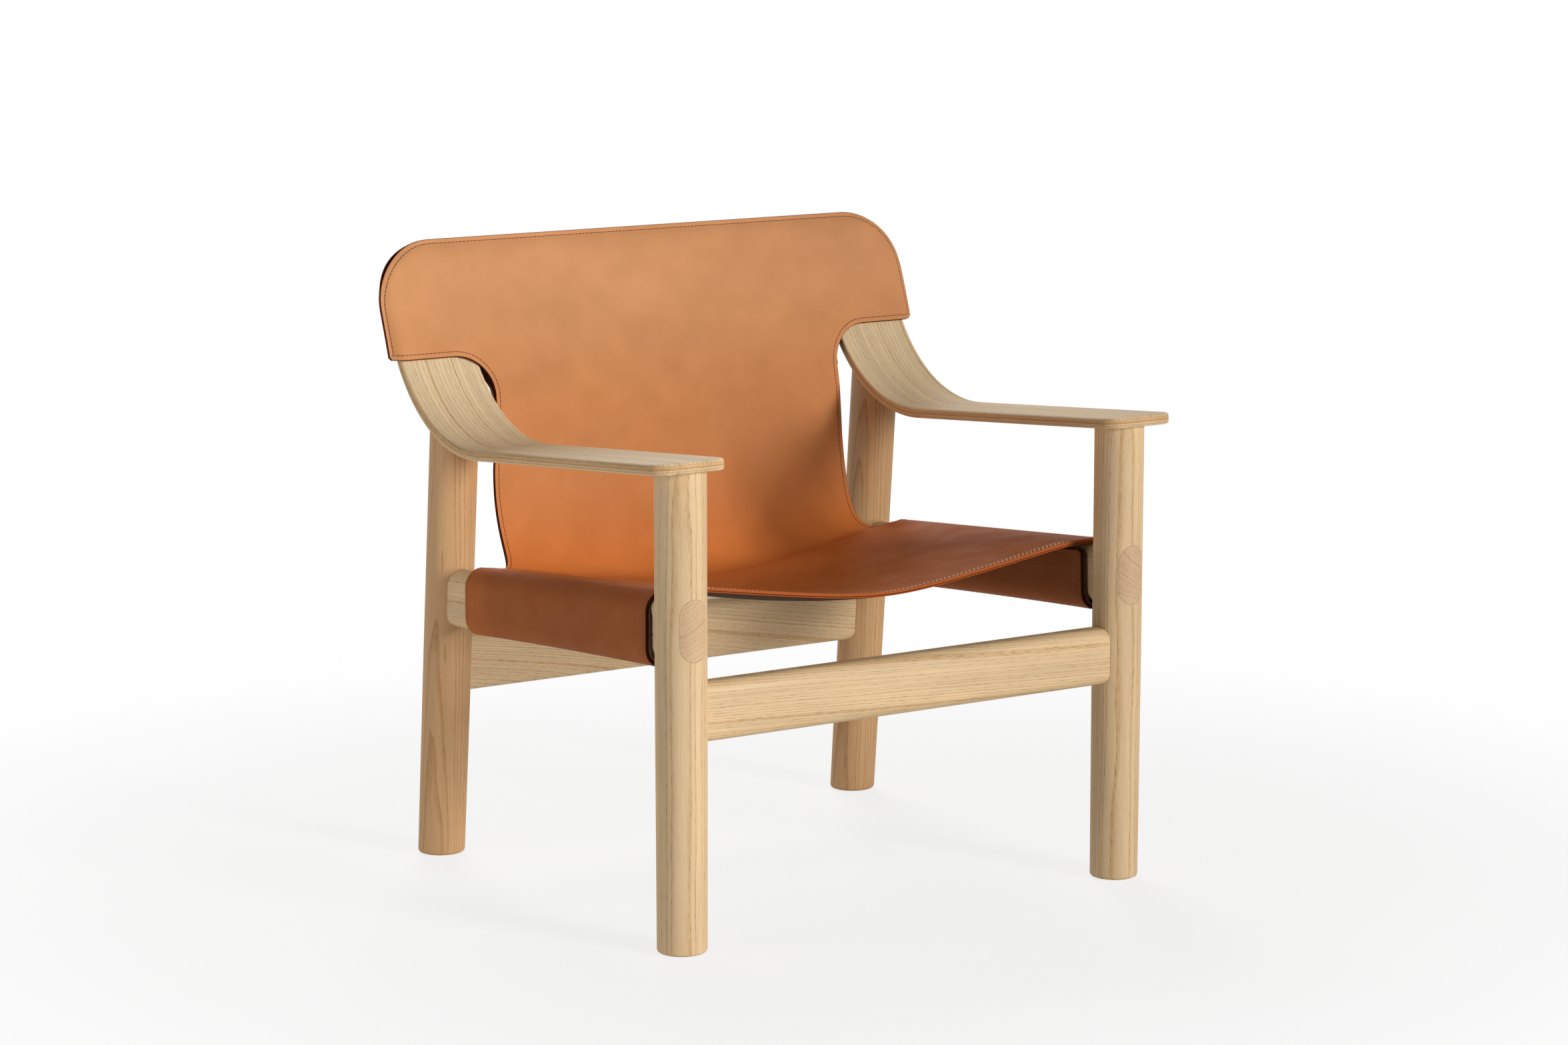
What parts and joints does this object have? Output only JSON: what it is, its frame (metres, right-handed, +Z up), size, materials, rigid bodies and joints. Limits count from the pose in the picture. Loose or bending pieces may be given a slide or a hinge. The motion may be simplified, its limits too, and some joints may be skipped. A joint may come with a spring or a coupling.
{
  "type": "lounge chair",
  "caption": "Low lounge armchair: round oak legs and rails, curved plywood arms that rise into the back, and a tan leather sling seat and back.",
  "frame": {"origin": "bottom centre of the chair's bounding box, on the floor", "axes": "+X to the right of someone facing the chair, +Y towards its back, +Z up"},
  "size_m": [0.7784, 0.6398, 0.7704],
  "materials": {
    "oak": "soaped solid oak",
    "plywood": "matt oak veneer",
    "beech": "raw",
    "steel": "zinc plated",
    "glide": "matt nylon",
    "leather": "smooth vegetable tanned",
    "lining": "dark suede"
  },
  "bodies": {
    "root": {"leg_front_left": "oak", "leg_rear_left": "oak", "side_rail_left": "oak", "rail_bolt_left": "steel", "rail_nut_left": "steel", "arm_dowel_front_left_a": "beech", "arm_dowel_front_left_b": "beech", "arm_dowel_rear_left_a": "beech", "arm_dowel_rear_left_b": "beech", "arm_left": "plywood", "glide_front_left": "glide", "glide_rear_left": "glide", "leg_front_right": "oak", "leg_rear_right": "oak", "side_rail_right": "oak", "rail_bolt_right": "steel", "rail_nut_right": "steel", "arm_dowel_front_right_a": "beech", "arm_dowel_front_right_b": "beech", "arm_dowel_rear_right_a": "beech", "arm_dowel_rear_right_b": "beech", "arm_right": "plywood", "glide_front_right": "glide", "glide_rear_right": "glide", "front_stretcher": "oak", "rear_stretcher": "oak", "sling_leather": "leather", "sling_lining": "lining", "back_panel": "lining"}
  },
  "joints": []
}
